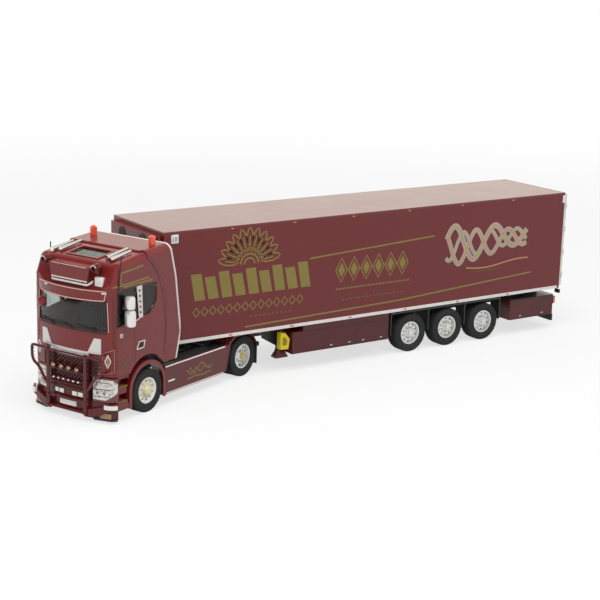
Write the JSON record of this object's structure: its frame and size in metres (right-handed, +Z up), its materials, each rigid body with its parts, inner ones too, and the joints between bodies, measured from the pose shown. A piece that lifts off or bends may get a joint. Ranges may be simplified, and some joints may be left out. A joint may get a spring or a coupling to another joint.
{
  "type": "1:50 scale model of an articulated refrigerated lorry",
  "caption": "Die-cast style scale model of a tall-cab tractor with a bull bar and a refrigerated box semi-trailer, in maroon with pale and gold lines.",
  "frame": {"origin": "on the ground, under the centre of the whole model's bounding box as it stands, tractor turned", "axes": "+X forward along the trailer, +Y to the left, +Z up; the tractor is turned 21.3 degrees to the left about the kingpin"},
  "size_m": [0.3304, 0.0916, 0.0827],
  "materials": {
    "maroon_paint": "deep gloss",
    "white_paint": "gloss",
    "black_plastic": "satin",
    "tyre_rubber": "matt, ribbed tread",
    "white_rim": "satin",
    "bright_rim": "polished",
    "steel": "bright",
    "chrome": "mirror bright",
    "glass": "clear, lightly smoked",
    "lamp_clear": "clear over a bright reflector",
    "lamp_orange": "translucent",
    "lamp_red": "translucent",
    "cab_trim": "fine grain"
  },
  "bodies": {
    "tractor": {"cab_shell": "maroon_paint", "cab_windows": "glass", "cab_interior": "cab_trim", "air_deflector": "maroon_paint", "front_grille": "maroon_paint", "front_trim": "white_paint", "headlamps": "lamp_clear", "bumper": "maroon_paint", "cab_steps": "maroon_paint", "bull_bar": "maroon_paint", "spot_lamps": "lamp_clear", "turn_lamps": "lamp_orange", "sun_visor": "maroon_paint", "light_box": "maroon_paint", "roof_rail": "chrome", "roof_lamps": "lamp_clear", "aerials": "black_plastic", "air_horns": "chrome", "beacons": "lamp_orange", "mirrors": "white_paint", "chassis_frame": "black_plastic", "front_axle": "black_plastic", "fifth_wheel": "black_plastic", "mudguards": "maroon_paint", "tail_bar": "black_plastic", "side_skirts": "maroon_paint", "tail_lamps": "lamp_red"},
    "knuckle_left": {"steering_knuckle_left": "steel"},
    "knuckle_right": {"steering_knuckle_right": "steel"},
    "front_wheel_left": {"front_tyre_left": "tyre_rubber", "front_rim_left": "white_rim"},
    "front_wheel_right": {"front_tyre_right": "tyre_rubber", "front_rim_right": "white_rim"},
    "drive_wheels": {"drive_tyres": "tyre_rubber", "drive_axle": "bright_rim"},
    "trailer": {"trailer_walls": "maroon_paint", "trailer_roof": "maroon_paint", "trailer_floor": "white_paint", "rear_frame": "white_paint", "cooling_unit": "maroon_paint", "trailer_frame": "black_plastic", "axle_hangers": "black_plastic", "coupling_plate": "steel", "landing_gear": "black_plastic", "side_boxes": "maroon_paint", "trailer_mudguards": "black_plastic", "rear_underrun": "black_plastic", "trailer_lamps": "lamp_red"},
    "door_left": {"rear_door_left": "maroon_paint", "door_rods_left": "steel"},
    "door_right": {"rear_door_right": "maroon_paint", "door_rods_right": "steel"},
    "trailer_wheels_1": {"trailer_tyres_1": "tyre_rubber", "trailer_axle_1": "bright_rim"},
    "trailer_wheels_2": {"trailer_tyres_2": "tyre_rubber", "trailer_axle_2": "bright_rim"},
    "trailer_wheels_3": {"trailer_tyres_3": "tyre_rubber", "trailer_axle_3": "bright_rim"}
  },
  "joints": [
    {"name": "fifth_wheel_turn", "type": "hinge", "parent": "tractor", "child": "trailer", "pos_m": [0.06683, -0.01579, 0.0229], "axis": [0, 0, 1], "range_deg": [-58.7, 101.3]},
    {"name": "steer_left", "type": "hinge", "parent": "tractor", "child": "knuckle_left", "pos_m": [0.12476, 0.02504, 0.0106], "axis": [0, 0, 1], "range_deg": [-18, 18]},
    {"name": "steer_right", "type": "hinge", "parent": "tractor", "child": "knuckle_right", "pos_m": [0.13711, -0.00664, 0.0106], "axis": [0, 0, 1], "range_deg": [-18, 18]},
    {"name": "roll_front_left", "type": "hinge", "parent": "knuckle_left", "child": "front_wheel_left", "pos_m": [0.12309, 0.02933, 0.0106], "axis": [-0.3633, 0.9317, 0], "continuous": true},
    {"name": "roll_front_right", "type": "hinge", "parent": "knuckle_right", "child": "front_wheel_right", "pos_m": [0.13878, -0.01092, 0.0106], "axis": [-0.3633, 0.9317, 0], "continuous": true},
    {"name": "roll_drive", "type": "hinge", "parent": "tractor", "child": "drive_wheels", "pos_m": [0.06059, -0.01822, 0.0106], "axis": [-0.3633, 0.9317, 0], "continuous": true},
    {"name": "roll_trailer_1", "type": "hinge", "parent": "trailer", "child": "trailer_wheels_1", "pos_m": [-0.05317, -0.01579, 0.0106], "axis": [0, 1, 0], "continuous": true},
    {"name": "roll_trailer_2", "type": "hinge", "parent": "trailer", "child": "trailer_wheels_2", "pos_m": [-0.07937, -0.01579, 0.0106], "axis": [0, 1, 0], "continuous": true},
    {"name": "roll_trailer_3", "type": "hinge", "parent": "trailer", "child": "trailer_wheels_3", "pos_m": [-0.10557, -0.01579, 0.0106], "axis": [0, 1, 0], "continuous": true},
    {"name": "door_left_swing", "type": "hinge", "parent": "trailer", "child": "door_left", "pos_m": [-0.16374, 0.01051, 0.052], "axis": [0, 0, -1], "range_deg": [0, 235]},
    {"name": "door_right_swing", "type": "hinge", "parent": "trailer", "child": "door_right", "pos_m": [-0.16374, -0.04209, 0.052], "axis": [0, 0, 1], "range_deg": [0, 235]}
  ],
  "couplings": [
    {"joint": "steer_right", "follows": "steer_left", "ratio": 1}
  ]
}
